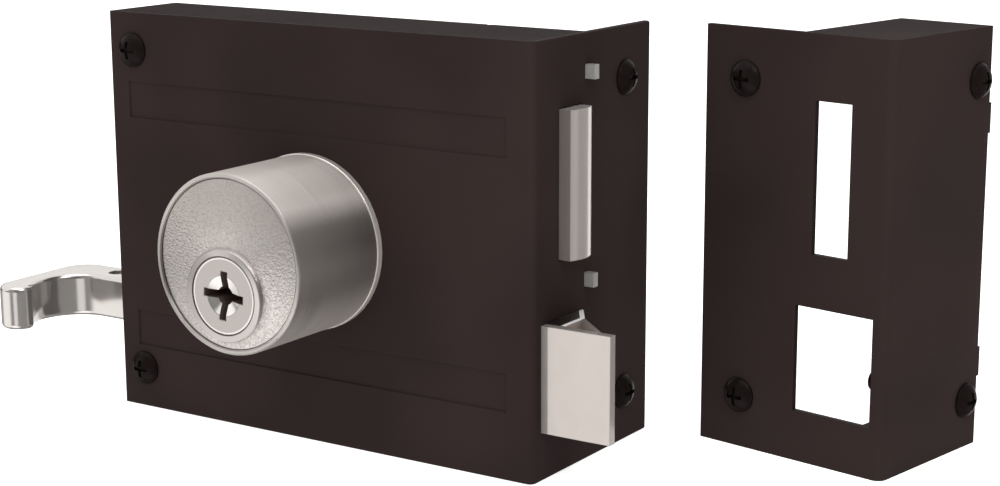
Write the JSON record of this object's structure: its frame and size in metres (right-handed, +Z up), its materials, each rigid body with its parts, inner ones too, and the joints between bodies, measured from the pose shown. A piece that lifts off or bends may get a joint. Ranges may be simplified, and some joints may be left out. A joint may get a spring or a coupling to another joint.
{
  "type": "gate rim lock",
  "caption": "Surface-mounted gate lock with key cylinder, rack-driven deadbolt, sprung latch with a finger pull, and a separate box strike for the post.",
  "frame": {"origin": "where the key cylinder's axis meets the plane of the case's back, which lies on the gate leaf", "axes": "+X runs along the case to the fore-end where the bolts come out, +Y into the gate leaf, +Z up"},
  "size_m": [0.2227, 0.1162, 0.0979],
  "materials": {
    "case_paint": "dark brown powder coat, satin with a slight gloss",
    "end_plate_paint": "dark brown powder coat",
    "cover_zinc": "bright galvanised sheet",
    "cylinder_nickel": "satin nickel plate, turned side, sand-textured face",
    "plug_nickel": "satin nickel plate",
    "pin_brass": "turned brass",
    "inner_steel": "zinc-plated sheet and bar",
    "pin_steel": "bright steel",
    "spring_steel": "drawn spring wire",
    "fastener_zinc": "zinc-plated",
    "screw_black": "glossy black",
    "deadbolt_steel": "bright zinc-plated steel",
    "latch_diecast": "satin-plated die casting",
    "pull_chrome": "polished"
  },
  "bodies": {
    "lock_case": {"case": "case_paint", "strike_box": "case_paint", "strike_end_plate": "end_plate_paint", "back_cover": "cover_zinc", "cylinder_housing": "cylinder_nickel", "cylinder_rose": "cylinder_nickel", "driver_pins": "pin_brass", "cylinder_clamp": "inner_steel", "guide_posts": "inner_steel", "latch_bracket": "inner_steel", "spacer_tubes": "inner_steel", "cover_pillars": "inner_steel", "latch_spring": "spring_steel", "pin_springs": "spring_steel", "clamp_screws": "fastener_zinc", "cover_screws": "fastener_zinc", "gate_screws": "screw_black", "edge_screws": "screw_black", "strike_edge_screws": "screw_black", "strike_face_screws": "screw_black"},
    "key_plug": {"plug": "plug_nickel", "key_pins": "pin_brass", "plug_clip": "pin_steel", "pinion": "inner_steel"},
    "deadbolt_slider": {"deadbolt": "deadbolt_steel", "deadbolt_slide": "inner_steel", "deadbolt_rivets": "pin_steel"},
    "latch_slider": {"latch_bolt": "latch_diecast", "latch_pin": "pin_steel", "latch_bar": "inner_steel", "finger_pull": "pull_chrome", "pull_pin": "pin_steel"}
  },
  "joints": [
    {"name": "key_turn", "type": "hinge", "parent": "lock_case", "child": "key_plug", "pos_m": [-0.001, -0.0236, -0.0071], "axis": [0, 1, 0], "range_deg": [0, 360]},
    {"name": "deadbolt_throw", "type": "slide", "parent": "lock_case", "child": "deadbolt_slider", "axis": [1, 0, 0], "range_m": [0, 0.02513]},
    {"name": "latch_draw", "type": "slide", "parent": "lock_case", "child": "latch_slider", "axis": [1, 0, 0], "range_m": [-0.0173, 0], "stiffness_N_per_m": 350, "springref_m": 0.01, "deforming": ["latch_spring"]}
  ],
  "couplings": [
    {"joint": "key_turn", "follows": "deadbolt_throw", "rad_per_m": 250}
  ]
}
